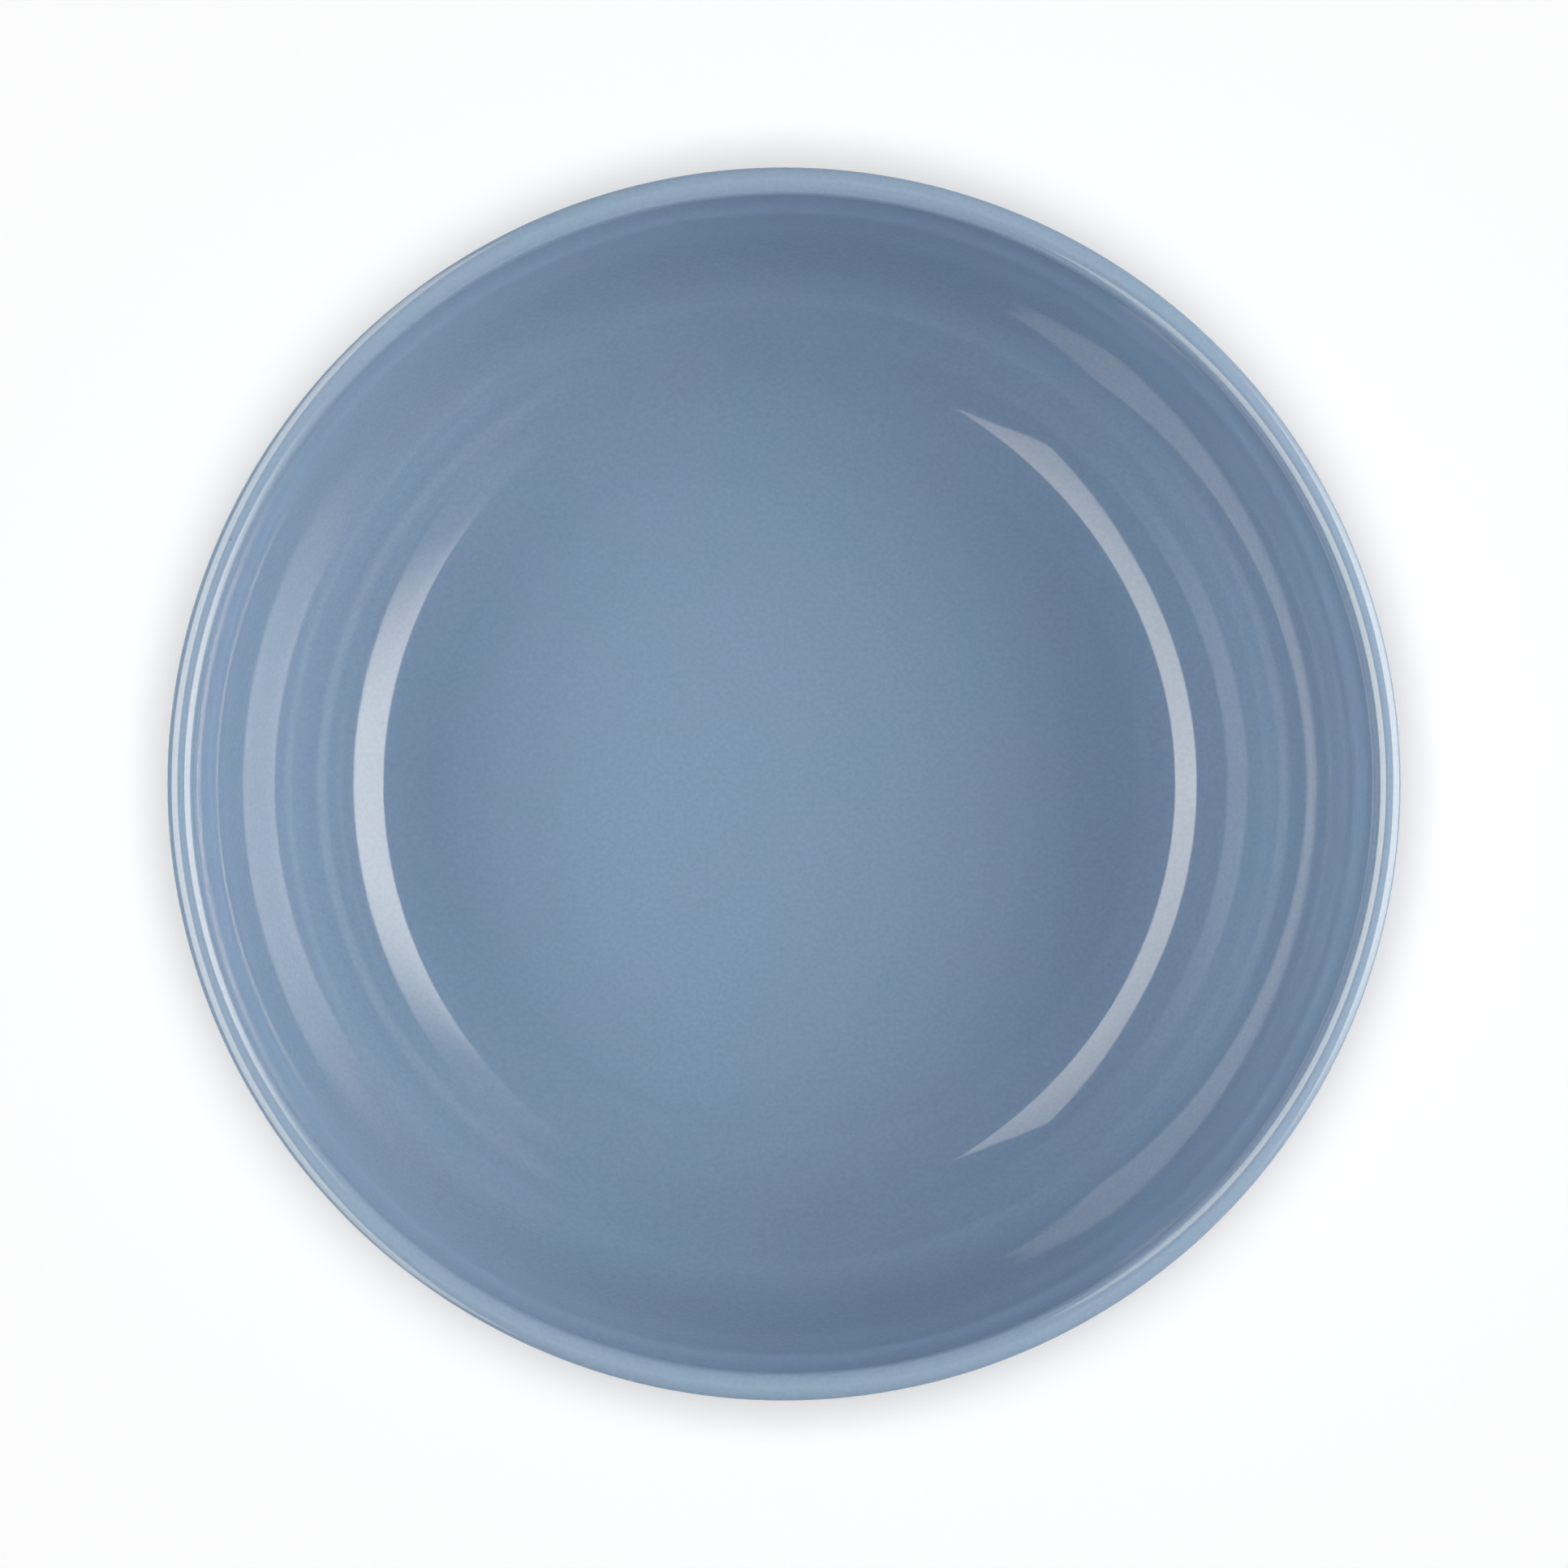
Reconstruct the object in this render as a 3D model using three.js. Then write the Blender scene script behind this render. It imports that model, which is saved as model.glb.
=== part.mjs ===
// A round stoneware serving bowl: one turned clay body on a foot ring, and the glaze coats fired onto it.
// Millimetres, +Z up. The bowl stands on z = 0 and its axis is Z.
import * as THREE from "three";

const radians = THREE.MathUtils.degToRad;

// Driving dimensions. Sizes of the whole bowl are measured over the glaze.
const rimDiameter = 240;
const bowlHeight = 82;
const wallThickness = 5.2;
const wallSlope = radians(84.7); // of the upper wall, measured from the level
const footHeight = 4.3;
const footWidth = 6;
const footInset = 4; // of the fillet on the foot ring from the edge of the flat floor
const glazeThickness = 0.4;
const seatGap = 0.05; // left between a coat and the clay, and between two coats
const facetsRound = 56;
const chordError = 0.12; // furthest that a facet of the section leaves its arc

// The clay under the glaze.
const coat = glazeThickness + seatGap;
const clayThickness = wallThickness - 2 * coat;
const clayRimRadius = rimDiameter / 2 - coat;
const clayHeight = bowlHeight - coat;
const floorLevel = footHeight + clayThickness;
const insideDepth = clayHeight - floorLevel;

// The foot ring.
const footFillet = 0.5 * footHeight; // between the bowl and the outside of the ring
const recessFillet = 0.3 * footHeight; // between the ring and the underside of the floor
const footEdge = 0.2 * footHeight; // round on both edges of the standing face
const glazeLine = 0.36 * footHeight; // the clay is left bare below this level

// Curves of the section, in the order that they are followed: each arc's radius, as a share of one size
// of the bowl, and the slope that it ends on.
// The inside, from the flat floor up to the straight upper wall, as shares of the inside depth.
const insideCurve = [
  { share: 0.34, slope: radians(31) },
  { share: 0.69, slope: radians(66) },
  { share: 1.28, slope: wallSlope },
];
// The lip, over a soft ridge, as shares of the clay's thickness.
const downOutside = wallSlope - Math.PI;
const innerLip = [
  { share: 0.45, slope: radians(37) },
  { share: 1.3, slope: radians(21) },
  { share: 0.3, slope: 0 },
];
const outerLip = [
  { share: 0.3, slope: radians(-9) },
  { share: 1.13, slope: radians(-29) },
  { share: 0.03, slope: downOutside },
];

// Follows a section curve from one point, with the clay on the right of the way it heads. Each point
// keeps its heading, so that a coat can be laid square to the clay.
function follow(start) {
  const points = [start];
  const path = {
    points,
    end: () => points[points.length - 1],
    run(length) {
      const { r, z, heading } = path.end();
      points.push({ r: r + length * Math.cos(heading), z: z + length * Math.sin(heading), heading });
      return path;
    },
    arc(radius, heading) {
      const from = path.end();
      const turn = heading - from.heading;
      const signed = radius * Math.sign(turn);
      const widestStep = 2 * Math.acos(1 - Math.min(chordError / radius, 1));
      const steps = Math.ceil(Math.abs(turn) / widestStep);
      for (let i = 1; i <= steps; i++) {
        const h = from.heading + (turn * i) / steps;
        const r = from.r + signed * (Math.sin(h) - Math.sin(from.heading));
        const z = from.z + signed * (Math.cos(from.heading) - Math.cos(h));
        points.push({ r, z, heading: h });
      }
      return path;
    },
    curve(arcs, unit) {
      arcs.forEach(({ share, slope }) => path.arc(share * unit, slope));
      return path;
    },
  };
  return path;
}

// A curve followed from the origin, for what it measures.
const trial = (heading, ...curves) =>
  curves.reduce((path, arcs) => path.curve(arcs, 1), follow({ r: 0, z: 0, heading }));

// The whole section of the clay in four stretches, from the middle of the floor round to the middle of
// the underside. The outside runs parallel to the inside, one thickness away.
function claySection() {
  // The lip's end as seen from its start: how far across the wall, and how far up along it.
  const lip = trial(wallSlope, innerLip, outerLip);
  const lipSpan = lip.end().r * Math.sin(wallSlope) - lip.end().z * Math.cos(wallSlope);
  const lipRise = lip.end().r * Math.cos(wallSlope) + lip.end().z * Math.sin(wallSlope);
  const lipUnit = clayThickness / lipSpan; // so that the lip's arcs together span the thickness
  const lipFoot = {
    r: clayRimRadius - lipUnit * Math.max(...lip.points.map((p) => p.r)),
    z: clayHeight - lipUnit * Math.max(...lip.points.map((p) => p.z)),
  };
  const curved = trial(0, insideCurve).end();
  const wallLength = (lipFoot.z - floorLevel - insideDepth * curved.z) / Math.sin(wallSlope);
  const floorRadius = lipFoot.r - wallLength * Math.cos(wallSlope) - insideDepth * curved.r;

  const inside = follow({ r: 0, z: floorLevel, heading: 0 })
    .run(floorRadius)
    .curve(insideCurve, insideDepth)
    .run(wallLength)
    .curve(innerLip, lipUnit);

  const outside = follow(inside.end()).curve(outerLip, lipUnit).run(wallLength + lipUnit * lipRise);
  const startSlopes = [0, ...insideCurve.map(({ slope }) => slope)];
  for (let i = insideCurve.length - 1; i >= 0; i--) {
    outside.arc(insideCurve[i].share * insideDepth + clayThickness, startSlopes[i] - Math.PI);
  }
  outside.run(footInset).arc(footFillet, -Math.PI / 2);
  outside.run(outside.end().z - glazeLine);

  const standing = follow(outside.end())
    .run(glazeLine - footEdge)
    .arc(footEdge, -Math.PI)
    .run(footWidth - 2 * footEdge)
    .arc(footEdge, -1.5 * Math.PI)
    .run(glazeLine - footEdge);

  const underside = follow(standing.end())
    .run(footHeight - recessFillet - glazeLine)
    .arc(recessFillet, -Math.PI);
  underside.run(underside.end().r);

  return [inside, outside, standing, underside].map((path) => path.points);
}

// The points moved off the clay by a distance, square to it.
function offset(points, distance) {
  return points.map(({ r, z, heading }) => {
    const out = new THREE.Vector2(r - distance * Math.sin(heading), z + distance * Math.cos(heading));
    return out.setX(Math.max(out.x, 0));
  });
}

// A solid of revolution about Z from a section drawn with its material on the right.
function turned(name, section, material) {
  const solid = new THREE.LatheGeometry(section.slice().reverse(), facetsRound).rotateX(Math.PI / 2);
  const mesh = new THREE.Mesh(solid, material);
  mesh.name = name;
  return mesh;
}

// A coat of glaze over a stretch of the clay. A section that doesn't start on the axis closes on itself.
function coatOver(name, points) {
  const section = [...offset(points, coat), ...offset(points, seatGap).reverse()];
  return turned(name, points[0].r > 0 ? [...section, section[0]] : section, glaze);
}

// A stretch of the clay with one end drawn back along the clay, to leave the seam between two coats.
function trimmed(points, atStart) {
  const from = atStart ? 0 : points.length - 1;
  const back = atStart ? seatGap / 2 : -seatGap / 2;
  return points.map((p, i) => (i === from ? { ...p, r: p.r + back } : p));
}

const clay = new THREE.MeshStandardMaterial({ color: 0xc4b49c, roughness: 0.85, metalness: 0 });
const glaze = new THREE.MeshStandardMaterial({ color: 0x778daa, roughness: 0.06, metalness: 0 });

const stretches = claySection();
const [inside, outside, , underside] = stretches;
const bodySection = stretches.flatMap((points, i) => offset(i ? points.slice(1) : points, 0));

const group = new THREE.Group();
group.name = "serving_bowl";
group.add(
  turned("stoneware_body", bodySection, clay),
  coatOver("inside_glaze", trimmed(inside, false)),
  coatOver("outside_glaze", trimmed(outside, true)),
  coatOver("underside_glaze", underside),
);

export default group;
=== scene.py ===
"""Looks of a round glazed stoneware serving bowl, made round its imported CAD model. Metres, +Z up."""

import math

import bpy
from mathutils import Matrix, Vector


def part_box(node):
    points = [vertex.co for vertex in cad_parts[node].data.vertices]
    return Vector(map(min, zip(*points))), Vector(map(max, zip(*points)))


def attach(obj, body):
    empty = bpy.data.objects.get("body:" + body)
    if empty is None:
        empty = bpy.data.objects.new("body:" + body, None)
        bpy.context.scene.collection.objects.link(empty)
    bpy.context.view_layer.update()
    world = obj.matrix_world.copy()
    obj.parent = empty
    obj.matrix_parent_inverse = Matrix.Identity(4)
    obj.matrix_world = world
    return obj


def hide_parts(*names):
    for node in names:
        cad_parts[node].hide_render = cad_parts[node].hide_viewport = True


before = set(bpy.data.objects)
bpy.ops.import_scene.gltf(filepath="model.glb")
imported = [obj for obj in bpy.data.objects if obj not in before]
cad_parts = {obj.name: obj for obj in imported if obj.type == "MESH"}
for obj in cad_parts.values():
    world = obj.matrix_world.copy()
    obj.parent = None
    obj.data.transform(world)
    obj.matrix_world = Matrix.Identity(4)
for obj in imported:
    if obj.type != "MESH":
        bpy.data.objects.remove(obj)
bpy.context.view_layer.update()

MM = 0.001

# Sizes read from the CAD nodes.
SEAT_GAP = 0.05 * MM  # that the CAD leaves between a coat of glaze and the clay
RIM_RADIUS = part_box("outside_glaze")[1].x
BOWL_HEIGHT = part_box("inside_glaze")[1].z
CLAY_RIM_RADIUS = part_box("stoneware_body")[1].x
CLAY_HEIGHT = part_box("stoneware_body")[1].z
COAT = BOWL_HEIGHT - CLAY_HEIGHT
FLOOR_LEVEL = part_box("inside_glaze")[0].z - SEAT_GAP
FOOT_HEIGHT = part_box("underside_glaze")[1].z + SEAT_GAP
GLAZE_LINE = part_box("outside_glaze")[0].z
THICKNESS = FLOOR_LEVEL - FOOT_HEIGHT
DEPTH = CLAY_HEIGHT - FLOOR_LEVEL

# The section's own sizes, as in the CAD.
WALL_SLOPE = math.radians(84.7)
FOOT_WIDTH = 6 * MM
FOOT_INSET = 4 * MM
FOOT_FILLET = 0.5 * FOOT_HEIGHT
RECESS_FILLET = 0.3 * FOOT_HEIGHT
FOOT_EDGE = 0.2 * FOOT_HEIGHT

# Curves of the section: (radius as a share of one size of the bowl, slope in degrees that the arc ends on).
INSIDE_CURVE = [(0.34, 31), (0.69, 66), (1.28, math.degrees(WALL_SLOPE))]
INNER_LIP = [(0.45, 37), (1.3, 21), (0.3, 0)]
OUTER_LIP = [(0.3, -9), (1.13, -29), (0.03, math.degrees(WALL_SLOPE) - 180)]

# Headings of the section round the foot, counted on from 0 at the lip's crest. Right turns are negative.
DOWN = -math.pi / 2
INWARD = -math.pi
UP_AGAIN = -1.5 * math.pi

# How finely the meshes are cut.
SEGMENTS = 240
FINE_TURN = math.radians(1.5)
COARSE_TURN = math.radians(6)
FINE_STEP = 3 * MM
COARSE_STEP = 25 * MM
EDGE_STEP = 0.06 * MM  # along the rolled edge of a coat
SHARP_EDGE = math.radians(40)  # faces that meet at more than this aren't shaded as one
ON_AXIS = 1e-7  # a point nearer to the axis than this lies on it

# The free edge of a coat: a rolled end, with a bead of pooled glaze behind it.
EDGE_ROLL = 0.45 * MM
BEAD_SHARE = 0.35
BEAD_PLACE = 1.0 * MM
BEAD_WIDTH = 0.7 * MM
SINK = 0.02 * MM  # of a coat into the clay that it is fused to


class Path:
    """A section curve in (r, z), followed with the clay on the right of the way it heads."""

    def __init__(self, start, turn_step, run_step):
        self.points = [start]
        self.turn_step = turn_step
        self.run_step = run_step

    def run(self, length, step=None):
        """Goes straight on."""
        r, z, heading = self.points[-1]
        count = max(1, math.ceil(length / (step or self.run_step)))
        for i in range(1, count + 1):
            along = length * i / count
            self.points.append((r + along * math.cos(heading), z + along * math.sin(heading), heading))
        return self

    def arc(self, radius, heading):
        """Turns on a circle until it has the heading."""
        r, z, start = self.points[-1]
        turn = heading - start
        signed = math.copysign(radius, turn)
        count = max(2, math.ceil(abs(turn) / self.turn_step))
        for i in range(1, count + 1):
            h = start + turn * i / count
            across = signed * (math.sin(h) - math.sin(start))
            rise = signed * (math.cos(start) - math.cos(h))
            self.points.append((r + across, z + rise, h))
        return self

    def curve(self, arcs, unit):
        """Follows a chain of arcs, given as shares of a unit."""
        for share, slope in arcs:
            self.arc(share * unit, math.radians(slope))
        return self


def trial(heading, *curves):
    """Curves followed from the origin at unit size, for what they measure."""
    path = Path((0, 0, heading), FINE_TURN, FINE_STEP)
    for arcs in curves:
        path.curve(arcs, 1)
    return path.points


def clay_section(turn_step, run_step):
    """The clay's section in four stretches: inside, outside, bare foot and underside."""
    # The lip's end as seen from its start: how far across the wall, and how far up along it.
    lip = trial(WALL_SLOPE, INNER_LIP, OUTER_LIP)
    lip_end_r, lip_end_z, _ = lip[-1]
    lip_span = lip_end_r * math.sin(WALL_SLOPE) - lip_end_z * math.cos(WALL_SLOPE)
    lip_rise = lip_end_r * math.cos(WALL_SLOPE) + lip_end_z * math.sin(WALL_SLOPE)
    lip_unit = THICKNESS / lip_span  # so that the lip's arcs together span the thickness
    lip_r = CLAY_RIM_RADIUS - lip_unit * max(p[0] for p in lip)
    lip_z = CLAY_HEIGHT - lip_unit * max(p[1] for p in lip)
    curve_r, curve_z, _ = trial(0, INSIDE_CURVE)[-1]
    wall_length = (lip_z - FLOOR_LEVEL - DEPTH * curve_z) / math.sin(WALL_SLOPE)
    floor_radius = lip_r - wall_length * math.cos(WALL_SLOPE) - DEPTH * curve_r

    inside = Path((0, FLOOR_LEVEL, 0), turn_step, run_step)
    inside.run(floor_radius).curve(INSIDE_CURVE, DEPTH).run(wall_length).curve(INNER_LIP, lip_unit)

    outside = Path(inside.points[-1], turn_step, run_step)
    outside.curve(OUTER_LIP, lip_unit).run(wall_length + lip_unit * lip_rise)
    start_slopes = [0] + [slope for _, slope in INSIDE_CURVE]
    for (share, _), start_slope in reversed(list(zip(INSIDE_CURVE, start_slopes))):
        outside.arc(share * DEPTH + THICKNESS, math.radians(start_slope - 180))
    outside.run(FOOT_INSET).arc(FOOT_FILLET, DOWN)
    outside.run(outside.points[-1][1] - GLAZE_LINE, EDGE_STEP)

    standing = Path(outside.points[-1], turn_step, run_step)
    standing.run(GLAZE_LINE - FOOT_EDGE).arc(FOOT_EDGE, INWARD)
    standing.run(FOOT_WIDTH - 2 * FOOT_EDGE).arc(FOOT_EDGE, UP_AGAIN).run(GLAZE_LINE - FOOT_EDGE)

    underside = Path(standing.points[-1], turn_step, run_step)
    underside.run(FOOT_HEIGHT - RECESS_FILLET - GLAZE_LINE, EDGE_STEP).arc(RECESS_FILLET, INWARD)
    underside.run(underside.points[-1][0])
    return [path.points for path in (inside, outside, standing, underside)]


def offset(points, distances):
    """Points moved off the clay, square to it, each by its own distance."""
    return [
        (max(r - d * math.sin(heading), 0), z + d * math.cos(heading))
        for (r, z, heading), d in zip(points, distances)
    ]


def coat_depths(points, free_end):
    """Thickness of a coat along its stretch. A free end swells to a bead, then rolls down to the clay."""
    if not free_end:
        return [COAT] * len(points)
    ordered = points if free_end == "start" else points[::-1]
    depths = []
    along = 0
    for i, (r, z, _) in enumerate(ordered):
        if i:
            along += math.dist((r, z), ordered[i - 1][:2])
        bead = 1 + BEAD_SHARE * math.exp(-(((along - BEAD_PLACE) / BEAD_WIDTH) ** 2))
        roll = math.sqrt(1 - (1 - min(along / EDGE_ROLL, 1)) ** 2)
        depths.append(COAT * bead * roll)
    return depths if free_end == "start" else depths[::-1]


def coat_outline(fine, coarse, free_end):
    """Section of a coat: its glossy skin, and its hidden side sunk a little into the clay."""
    skin = offset(fine, coat_depths(fine, free_end))
    hidden = offset(coarse, [-SINK] * len(coarse))
    return skin + hidden[::-1]


def turned(name, outline):
    """A closed mesh of revolution about Z from an outline drawn with its material on the right."""
    vertices = []
    rings = []
    for r, z in outline:
        first = len(vertices)
        if r < ON_AXIS:
            vertices.append((0, 0, z))
            rings.append([first] * SEGMENTS)
            continue
        for j in range(SEGMENTS):
            angle = 2 * math.pi * j / SEGMENTS
            vertices.append((r * math.cos(angle), r * math.sin(angle), z))
        rings.append([first + j for j in range(SEGMENTS)])
    # An outline that doesn't start on the axis closes on itself.
    starts_on_axis = outline[0][0] < ON_AXIS
    following = rings[1:] if starts_on_axis else rings[1:] + rings[:1]
    faces = []
    for low, high in zip(rings, following):
        for j in range(SEGMENTS):
            k = (j + 1) % SEGMENTS
            corners = list(dict.fromkeys((low[j], high[j], high[k], low[k])))
            if len(corners) > 2:
                faces.append(corners)
    mesh = bpy.data.meshes.new(name)
    mesh.from_pydata(vertices, [], faces)
    mesh.shade_smooth()
    mesh.set_sharp_from_angle(angle=SHARP_EDGE)
    piece = bpy.data.objects.new(name, mesh)
    bpy.context.scene.collection.objects.link(piece)
    return piece


class Nodes:
    """Adds shader nodes to a material or world, and links them."""

    MIX_FACTOR, MIX_A, MIX_B, MIX_RESULT = "0", "6", "7", 2  # sockets of a mix of colours

    def __init__(self, owner):
        owner.use_nodes = True
        self.tree = owner.node_tree
        self.tree.nodes.clear()

    def add(self, kind, **inputs):
        """A new node with inputs linked or set. An underscore stands for a space in an input's name."""
        node = self.tree.nodes.new(kind)
        for name, value in inputs.items():
            self.set(node, name.replace("_", " "), value)
        return node

    def set(self, node, name, value):
        """Links or sets an input, which a name or a number picks."""
        socket = node.inputs[int(name)] if name.isdigit() else node.inputs[name]
        if isinstance(value, bpy.types.NodeSocket):
            self.tree.links.new(value, socket)
        else:
            socket.default_value = value

    def math(self, operation, a, b=0.0):
        node = self.tree.nodes.new("ShaderNodeMath")
        node.operation = operation
        self.set(node, "0", a)
        self.set(node, "1", b)
        return node.outputs[0]

    def squares(self, a, b):
        """The sum of two squares."""
        return self.math("ADD", self.math("MULTIPLY", a, a), self.math("MULTIPLY", b, b))

    def noise(self, place, scale, detail, roughness=0.5):
        node = self.add("ShaderNodeTexNoise", Vector=place, Scale=scale, Detail=detail, Roughness=roughness)
        return node.outputs["Fac"]

    def ramp(self, value, low, high, to_low=0.0, to_high=1.0):
        """A smooth step from to_low to to_high as the value goes from low to high."""
        node = self.add("ShaderNodeMapRange", Value=value, From_Min=low, From_Max=high)
        node.interpolation_type = "SMOOTHSTEP"
        self.set(node, "To Min", to_low)
        self.set(node, "To Max", to_high)
        return node.outputs["Result"]

    def spots(self, place, scale, share, core, edge):
        """Round spots in a share of all cells: 1 within the core, 0 past the edge, both measured in cells."""
        cells = self.add("ShaderNodeTexVoronoi", Vector=place, Scale=scale)
        lot = self.add("ShaderNodeSeparateColor", Color=cells.outputs["Color"]).outputs["Red"]
        chosen = self.math("GREATER_THAN", lot, 1 - share)
        return self.math("MULTIPLY", self.ramp(cells.outputs["Distance"], core, edge, 1.0, 0.0), chosen)

    def blend(self, factor, a, b, how="MIX"):
        node = self.tree.nodes.new("ShaderNodeMix")
        node.data_type = "RGBA"
        node.blend_type = how
        self.set(node, self.MIX_FACTOR, factor)
        self.set(node, self.MIX_A, a)
        self.set(node, self.MIX_B, b)
        return node.outputs[self.MIX_RESULT]


def srgb(red, green, blue):
    """A colour given in display values, 0 to 255, as the linear colour that shaders take."""
    def linear(value):
        c = value / 255
        return c / 12.92 if c <= 0.04045 else ((c + 0.055) / 1.055) ** 2.4
    return (linear(red), linear(green), linear(blue), 1)


# Parts of a noise's range that are spread over a whole effect.
NARROW = 0.35, 0.65
MIDDLE = 0.3, 0.7
WIDE = 0.25, 0.75

# The glaze. Scales count repeats to a metre.
GLAZE_COLOURS = srgb(118, 141, 170), srgb(120, 140, 170)
GLAZE_DRIFT_SCALE = 38
MOTTLE_SCALE = 1100
MOTTLE = 0.95, 1.05
PAINTED_LIP_LIGHT_COLOUR = srgb(146, 163, 181)  # painted light: paler where the upturned lip catches the light
PAINTED_LIP_LIGHT_SHARE = 0.3
PAINTED_LIP_LIGHT_REACH = 1.0 * MM, 3.2 * MM  # from the crest, where that colour starts to go and where it is gone
CREST_INSET = 2.4 * MM  # of the lip's crest from the rim
# The pinholes are painted dark: painted shade in their hollows.
PINHOLE_SHADOW_COLOUR = srgb(62, 74, 92)
PINHOLE_SHADOW_SHARE = 0.55
PINHOLE_SCALE = 85
PINHOLE_SHARE = 0.2
PINHOLE_SIZE = 0.012, 0.026
PINHOLE_DEPTH = 0.04 * MM
GLAZE_IOR = 1.66
GLAZE_ROUGHNESS = 0.05, 0.075
GLAZE_ROUGHNESS_SCALE = 160
PEEL_SCALE = 620  # of the faint orange peel
PEEL_HEIGHT = 0.004 * MM


def glaze_material():
    """Grey-blue gloss glaze: slow drifts of hue, a fine mottle, painted light on the lip, rare pinholes
    darkened with painted shade.
    """
    material = bpy.data.materials.new("grey_blue_glaze")
    n = Nodes(material)
    place = n.add("ShaderNodeTexCoord").outputs["Object"]
    drift = n.ramp(n.noise(place, GLAZE_DRIFT_SCALE, detail=2), *NARROW)
    mottle = n.ramp(n.noise(place, MOTTLE_SCALE, detail=3, roughness=0.6), *MIDDLE, *MOTTLE)
    colour = n.blend(1.0, n.blend(drift, *GLAZE_COLOURS), mottle, "MULTIPLY")

    xyz = n.add("ShaderNodeSeparateXYZ", Vector=place).outputs
    radius = n.math("SQRT", n.squares(xyz["X"], xyz["Y"]))
    out = n.math("SUBTRACT", radius, RIM_RADIUS - CREST_INSET)
    up = n.math("SUBTRACT", xyz["Z"], BOWL_HEIGHT)
    from_crest = n.math("SQRT", n.squares(out, up))
    # Painted light: the lip's crest is painted paler, for the light that the upturned lip catches.
    colour = n.blend(n.ramp(from_crest, *PAINTED_LIP_LIGHT_REACH, PAINTED_LIP_LIGHT_SHARE, 0.0), colour, PAINTED_LIP_LIGHT_COLOUR)

    pinhole = n.spots(place, PINHOLE_SCALE, PINHOLE_SHARE, *PINHOLE_SIZE)
    # Painted shade: the pinholes are darkened, for the shade in their hollows.
    colour = n.blend(n.math("MULTIPLY", pinhole, PINHOLE_SHADOW_SHARE), colour, PINHOLE_SHADOW_COLOUR)

    shader = n.add("ShaderNodeBsdfPrincipled", Base_Color=colour, IOR=GLAZE_IOR)
    gloss = n.noise(place, GLAZE_ROUGHNESS_SCALE, detail=2)
    n.set(shader, "Roughness", n.ramp(gloss, *MIDDLE, *GLAZE_ROUGHNESS))
    ripple = n.noise(place, PEEL_SCALE, detail=2)
    peel = n.add("ShaderNodeBump", Strength=1.0, Distance=PEEL_HEIGHT, Height=ripple)
    hollow = n.math("MULTIPLY", pinhole, -1.0)
    dimple = n.add("ShaderNodeBump", Strength=1.0, Distance=PINHOLE_DEPTH, Height=hollow)
    n.set(dimple, "Normal", peel.outputs["Normal"])
    n.set(shader, "Normal", dimple.outputs["Normal"])
    n.add("ShaderNodeOutputMaterial", Surface=shader.outputs["BSDF"])
    return material


# The bare clay.
CLAY_COLOURS = srgb(190, 172, 146), srgb(206, 191, 167)
CLAY_DRIFT_SCALE = 60
GRAIN_SCALE = 1500
GRAIN_SHADE = 0.86, 1.1
GRAIN_HEIGHT = 0.06 * MM
TOAST_COLOUR = srgb(168, 128, 92)  # where the clay meets the glaze
TOAST_SHARE = 0.6
TOAST_REACH = 1.0 * MM
FLECK_COLOUR = srgb(96, 72, 54)
FLECK_SHADE = 0.7
FLECK_SCALE = 420
FLECK_SHARE = 0.28
FLECK_SIZE = 0.06, 0.16
CLAY_IOR = 1.5
CLAY_ROUGHNESS = 0.74, 0.92


def clay_material():
    """Bare fired stoneware: buff, finely grained, flecked with iron, toasted where it meets the glaze."""
    material = bpy.data.materials.new("bare_stoneware")
    n = Nodes(material)
    place = n.add("ShaderNodeTexCoord").outputs["Object"]
    drift = n.ramp(n.noise(place, CLAY_DRIFT_SCALE, detail=4), *MIDDLE)
    grain = n.noise(place, GRAIN_SCALE, detail=4, roughness=0.7)
    colour = n.blend(1.0, n.blend(drift, *CLAY_COLOURS), n.ramp(grain, *WIDE, *GRAIN_SHADE), "MULTIPLY")

    height = n.add("ShaderNodeSeparateXYZ", Vector=place).outputs["Z"]
    toast = n.ramp(height, GLAZE_LINE - TOAST_REACH, GLAZE_LINE, 0.0, TOAST_SHARE)
    colour = n.blend(toast, colour, TOAST_COLOUR)

    fleck = n.spots(place, FLECK_SCALE, FLECK_SHARE, *FLECK_SIZE)
    colour = n.blend(n.math("MULTIPLY", fleck, FLECK_SHADE), colour, FLECK_COLOUR)

    shader = n.add("ShaderNodeBsdfPrincipled", Base_Color=colour, IOR=CLAY_IOR)
    n.set(shader, "Roughness", n.ramp(grain, *MIDDLE, *CLAY_ROUGHNESS))
    tooth = n.add("ShaderNodeBump", Strength=1.0, Distance=GRAIN_HEIGHT, Height=grain)
    n.set(shader, "Normal", tooth.outputs["Normal"])
    n.add("ShaderNodeOutputMaterial", Surface=shader.outputs["BSDF"])
    return material


def dress(piece, material, node):
    """Gives a piece its finish, and puts it in the CAD node's place."""
    piece.data.materials.append(material)
    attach(piece, "root")
    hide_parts(node)


def build_bowl():
    """The clay body and its three coats. What a coat hides of the clay is cut coarsely."""
    inside, outside, standing, underside = clay_section(FINE_TURN, FINE_STEP)
    inside_hidden, outside_hidden, _, underside_hidden = clay_section(COARSE_TURN, COARSE_STEP)
    body = inside_hidden + outside_hidden[1:] + standing[1:] + underside_hidden[1:]
    glaze = glaze_material()
    pieces = [turned("clay_body", offset(body, [0] * len(body)))]
    dress(pieces[0], clay_material(), "stoneware_body")
    coats = [
        ("inside_coat", inside, inside_hidden, None, "inside_glaze"),
        ("outside_coat", outside, outside_hidden, "end", "outside_glaze"),
        ("underside_coat", underside, underside_hidden, "start", "underside_glaze"),
    ]
    for name, fine, coarse, free_end, node in coats:
        pieces.append(turned(name, coat_outline(fine, coarse, free_end)))
        dress(pieces[-1], glaze, node)
    return pieces


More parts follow.
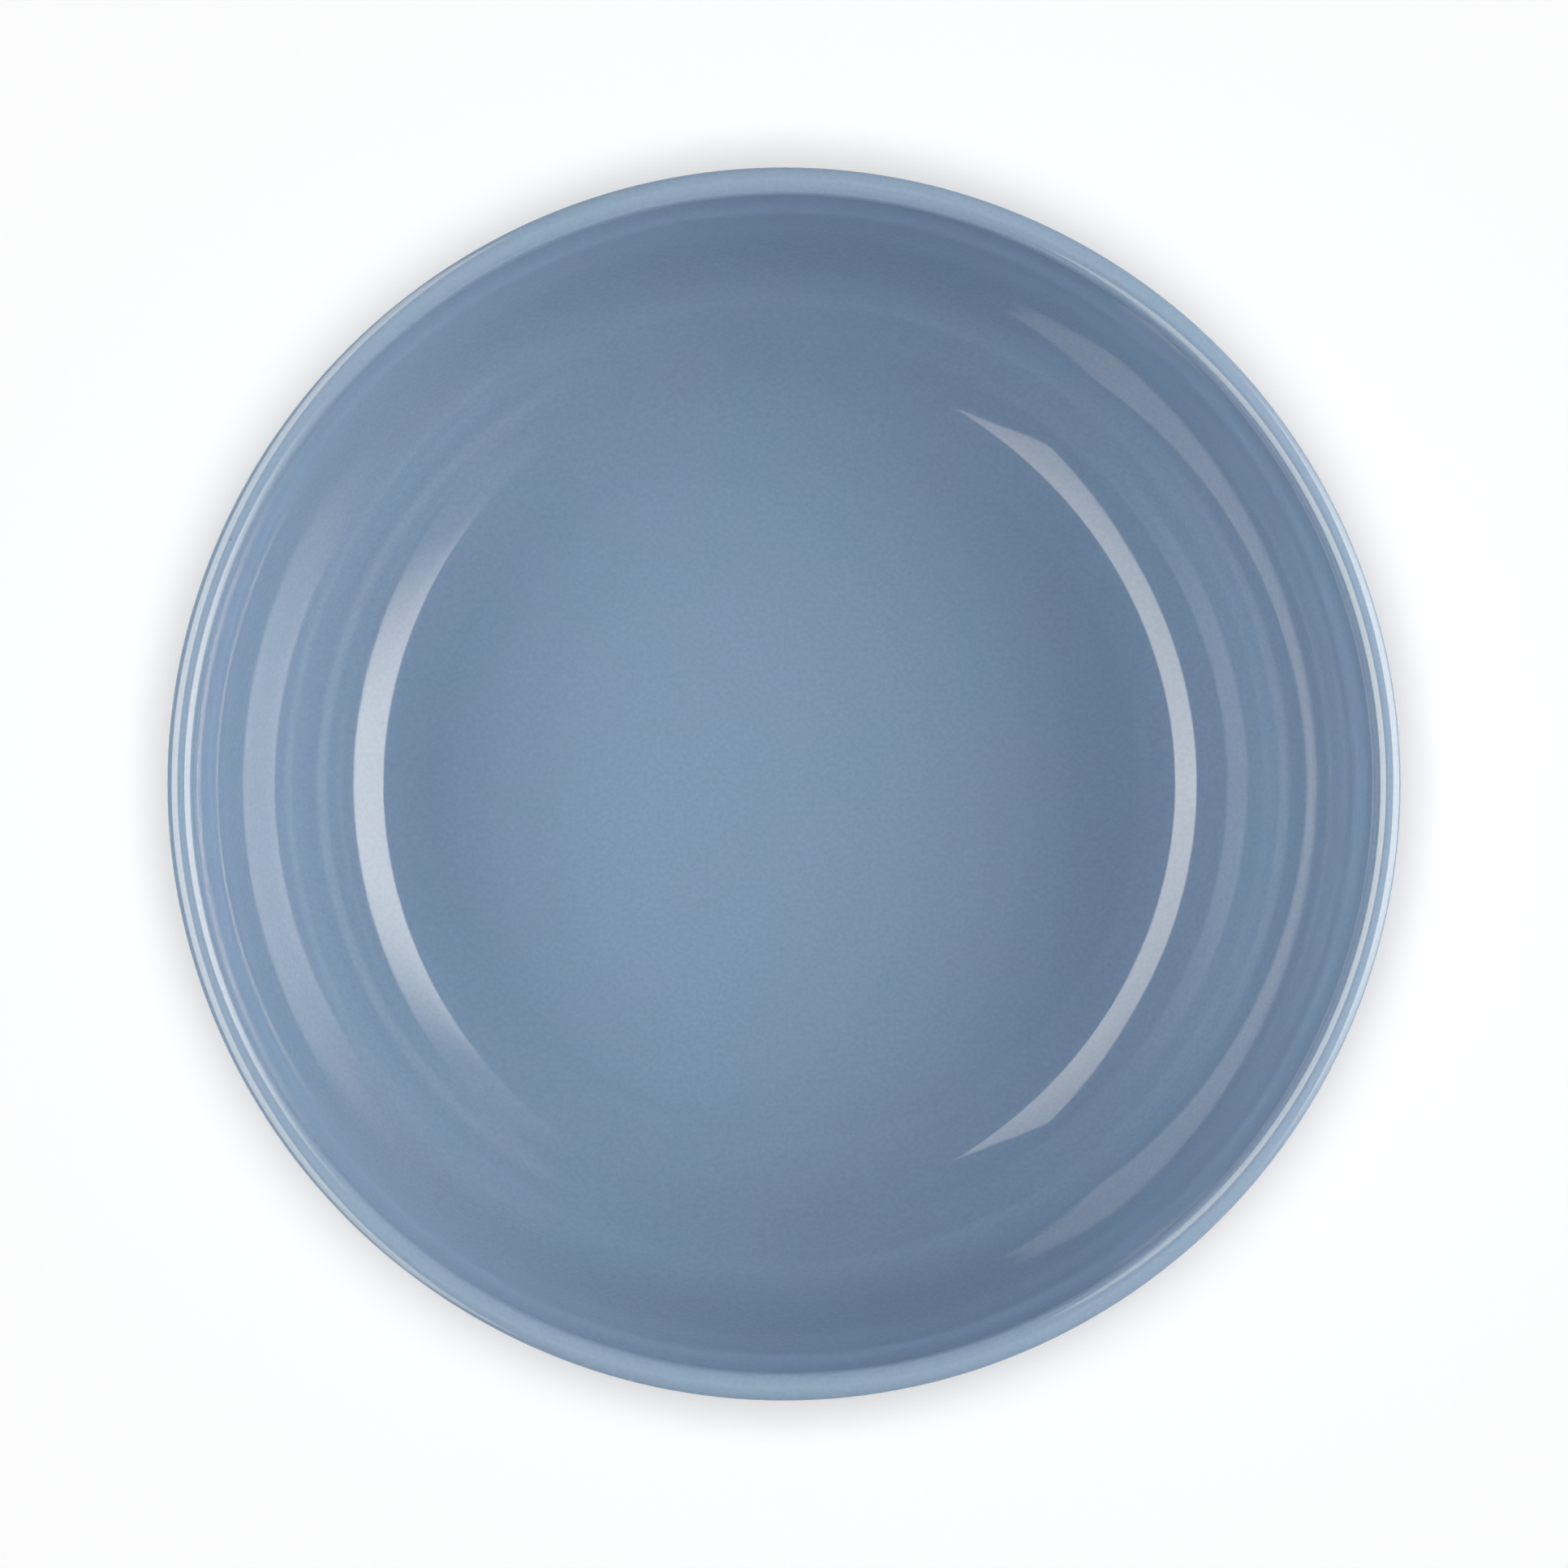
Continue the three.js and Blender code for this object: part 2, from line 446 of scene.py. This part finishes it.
# The studio: a white floor and backdrop in a dim room.
WHITE = (1, 1, 1, 1)
FLOOR_SIZE = 8.0
FLOOR_ALBEDO = 0.8
FLOOR_GLOW = 0.25  # brightness of the floor in full shadow, under the lamp
FLOOR_DROP = 0.02 * MM  # under the foot, so that the two don't lie in one plane
AMBIENT = 0.03
BACKDROP_FADE = math.sin(math.radians(8)), math.sin(math.radians(20))  # from white to the room, as heights
FLOOR_LAMP_HEIGHT = 1.6
FLOOR_LAMP_SIZE = 0.4
ROOM_LIGHT = 0.04  # brightness that the room's other light adds to the floor
LAMP_LIGHT = 1 - FLOOR_GLOW - ROOM_LIGHT
FLOOR_LAMP_GLOW = math.pi * LAMP_LIGHT / FLOOR_ALBEDO * (FLOOR_LAMP_HEIGHT / FLOOR_LAMP_SIZE) ** 2

# The light on the bowl: two long panels that the glaze mirrors, and three fills that it doesn't. The long
# edges of each are two (x, z) places, the upper or left one first. Mirrored is how bright a mirror shows a
# panel, as a share of the light that it gives.
WARM = (1.06, 1.0, 0.88, 1)
COOL = (0.82, 1.0, 1.1, 1)
LEFT_PANEL = {
    "edges": ((-0.458, 0.874), (-0.778, 0.645)),
    "half_length": 1.0,
    "strength": 5.4,
    "mirrored": 0.963,
}
RIGHT_PANEL = {
    "edges": ((0.66, 0.854), (0.958, 0.495)),
    "half_length": 1.4,
    "strength": 8.15,
    "mirrored": 0.675,
}
RIGHT_PANEL_SHIFT = 0.04  # along Y
LEFT_FILL = {"edges": ((-1.0, 0.7), (-1.2, 0.2)), "half_length": 0.9, "strength": 0.72}
RIGHT_FILL = {"edges": ((0.9, 0.5), (1.0, 0.25)), "half_length": 0.25, "strength": 6.5}
TOP_FILL = {"edges": ((-0.15, 1.6), (0.15, 1.6)), "half_length": 0.15, "strength": 20.2}
FADE_LENGTH = 1.0  # over which the left panel falls to 1/e
BRIGHT_REACH = 0.12, 0.72  # distances from the right panel's middle between which its light falls to a skirt
SKIRT = 0.08  # brightness of that faint skirt, as a share of the middle
SKIRT_REACH = 0.7, 1.4  # distances between which the skirt falls to nothing
POLARISED_GAIN = 2.2  # light mirrored in one plane is polarised, so each further mirror returns more of it
MIRRORS_GAINED = 2.0  # most further mirrors that the gain is counted for


def seen_rays(n):
    """1 for rays that show a thing, to the eye or in a mirror, and 0 for rays that gather its light."""
    light_path = n.add("ShaderNodeLightPath").outputs
    seen = n.math("MAXIMUM", light_path["Is Camera Ray"], light_path["Is Glossy Ray"])
    return n.math("MAXIMUM", seen, light_path["Is Transmission Ray"])


def dim_room():
    """A dim world, with a white backdrop low round the horizon."""
    world = bpy.data.worlds.new("dim_room")
    bpy.context.scene.world = world
    n = Nodes(world)
    direction = n.add("ShaderNodeTexCoord").outputs["Generated"]
    height = n.add("ShaderNodeSeparateXYZ", Vector=direction).outputs["Z"]
    backdrop = n.math("MULTIPLY", n.ramp(height, *BACKDROP_FADE, 1.0, 0.0), seen_rays(n))
    room = n.add("ShaderNodeBackground", Color=WHITE, Strength=n.math("MAXIMUM", backdrop, AMBIENT))
    n.add("ShaderNodeOutputWorld", Surface=room.outputs["Background"])


def sheet(name, corners, material):
    """A flat stage piece that faces the side from which its corners run anticlockwise."""
    mesh = bpy.data.meshes.new(name)
    mesh.from_pydata(corners, [], [tuple(range(len(corners)))])
    mesh.materials.append(material)
    made = bpy.data.objects.new(name, mesh)
    bpy.context.scene.collection.objects.link(made)
    return made


def floor_material():
    """Pale and dull. It glows, to the eye and in mirrors, enough to be white wherever its lamp reaches it."""
    material = bpy.data.materials.new("white_floor")
    n = Nodes(material)
    place = n.add("ShaderNodeSeparateXYZ", Vector=n.add("ShaderNodeTexCoord").outputs["Object"]).outputs
    squared = n.squares(place["X"], place["Y"])
    slant = n.math("DIVIDE", FLOOR_LAMP_HEIGHT ** 2, n.math("ADD", squared, FLOOR_LAMP_HEIGHT ** 2))
    lamp_share = n.math("MULTIPLY", n.math("MULTIPLY", slant, slant), 1 - FLOOR_GLOW)
    level = n.math("MULTIPLY", n.math("SUBTRACT", 1.0, lamp_share), seen_rays(n))
    glow = n.add("ShaderNodeEmission", Strength=level)
    dull = n.add("ShaderNodeBsdfDiffuse", Color=(FLOOR_ALBEDO, FLOOR_ALBEDO, FLOOR_ALBEDO, 1))
    both = n.tree.nodes.new("ShaderNodeAddShader")
    n.set(both, "0", dull.outputs["BSDF"])
    n.set(both, "1", glow.outputs["Emission"])
    n.add("ShaderNodeOutputMaterial", Surface=both.outputs["Shader"])
    return material


def white_floor():
    """A level floor just under the foot."""
    half = FLOOR_SIZE / 2
    corners = [(-half, -half, 0), (half, -half, 0), (half, half, 0), (-half, half, 0)]
    floor = sheet("floor", corners, floor_material())
    floor.location.z = -FLOOR_DROP
    return floor


def even(n, along):
    """The same brightness all along."""
    return 1.0


def fading(n, along):
    """Brightest in the middle, with hard ends."""
    return n.math("EXPONENT", n.math("MULTIPLY", along, -1 / FADE_LENGTH))


def soft_ended(n, along):
    """Even in the middle, falling to a faint skirt, and from that to nothing at the ends."""
    bright = n.ramp(along, *BRIGHT_REACH, 1 - SKIRT, 0.0)
    return n.math("ADD", bright, n.ramp(along, *SKIRT_REACH, SKIRT, 0.0))


def panel_light(name, colour, strength, mirrored, profile):
    """Light of a panel that shines from its front only. profile(n, along) is its brightness at a distance
    from the middle of its length."""
    material = bpy.data.materials.new(name)
    n = Nodes(material)
    place = n.add("ShaderNodeTexCoord").outputs["Object"]
    along = n.math("ABSOLUTE", n.add("ShaderNodeSeparateXYZ", Vector=place).outputs["Y"])
    front = n.math("SUBTRACT", 1.0, n.add("ShaderNodeNewGeometry").outputs["Backfacing"])
    light_path = n.add("ShaderNodeLightPath").outputs
    share = n.ramp(light_path["Is Glossy Ray"], 0.0, 1.0, 1.0, mirrored)
    further = n.math("MAXIMUM", n.math("SUBTRACT", light_path["Glossy Depth"], 1.0), 0.0)
    gain = n.math("POWER", POLARISED_GAIN, n.math("MINIMUM", further, MIRRORS_GAINED))
    level = n.math("MULTIPLY", n.math("MULTIPLY", share, gain), strength)
    level = n.math("MULTIPLY", n.math("MULTIPLY", profile(n, along), front), level)
    light = n.add("ShaderNodeEmission", Color=colour, Strength=level)
    n.add("ShaderNodeOutputMaterial", Surface=light.outputs["Emission"])
    return material


def light_only(lamp, lit):
    """Keeps a lamp's light to the given objects."""
    lamp.light_linking.receiver_collection = bpy.data.collections.new(lamp.name + "_lights")
    for piece in lit:
        lamp.light_linking.receiver_collection.objects.link(piece)


def soft_panel(name, lit, colour, edges, half_length, strength, mirrored=0.0, profile=even):
    """A panel parallel to Y that faces the bowl, and lights only the given objects."""
    (upper_x, upper_z), (lower_x, lower_z) = edges
    # The sign makes the corners run anticlockwise as seen from the bowl, on either side of it.
    side = math.copysign(half_length, lower_x)
    corners = [
        (upper_x, -side, upper_z),
        (upper_x, side, upper_z),
        (lower_x, side, lower_z),
        (lower_x, -side, lower_z),
    ]
    panel = sheet(name, corners, panel_light(name, colour, strength, mirrored, profile))
    panel.visible_camera = False
    panel.visible_shadow = False
    panel.visible_glossy = mirrored > 0
    light_only(panel, lit)
    return panel


def light_studio(bowl):
    """The room, the floor with its own lamp, and the light on the bowl."""
    dim_room()
    half = FLOOR_LAMP_SIZE / 2
    overhead = (-half, FLOOR_LAMP_HEIGHT), (half, FLOOR_LAMP_HEIGHT)
    soft_panel("floor_lamp", [white_floor()], WHITE, overhead, half, FLOOR_LAMP_GLOW)
    soft_panel("left_panel", bowl, WARM, profile=fading, **LEFT_PANEL)
    right = soft_panel("right_panel", bowl, WARM, profile=soft_ended, **RIGHT_PANEL)
    right.location.y = RIGHT_PANEL_SHIFT
    soft_panel("left_fill", bowl, WARM, **LEFT_FILL)
    soft_panel("right_fill", bowl, WARM, **RIGHT_FILL)
    soft_panel("top_fill", bowl, COOL, **TOP_FILL)


# The camera looks straight down from above the middle, as in the photograph.
CAMERA_HEIGHT = 1.2  # above the rim
SENSOR_WIDTH = 36
PHOTO_HALF_WIDTH = 966  # pixels
PHOTO_RIM_RADIUS = 760.5  # pixels


def place_camera():
    """A camera that shows the rim as large as the photograph does."""
    data = bpy.data.cameras.new("camera")
    data.sensor_width = SENSOR_WIDTH
    half_width = RIM_RADIUS * PHOTO_HALF_WIDTH / PHOTO_RIM_RADIUS
    data.lens = SENSOR_WIDTH / 2 * CAMERA_HEIGHT / half_width
    camera = bpy.data.objects.new("camera", data)
    camera.location = (0, 0, BOWL_HEIGHT + CAMERA_HEIGHT)
    bpy.context.scene.collection.objects.link(camera)
    bpy.context.scene.camera = camera


light_studio(build_bowl())
place_camera()
bpy.context.scene.view_settings.view_transform = "Standard"
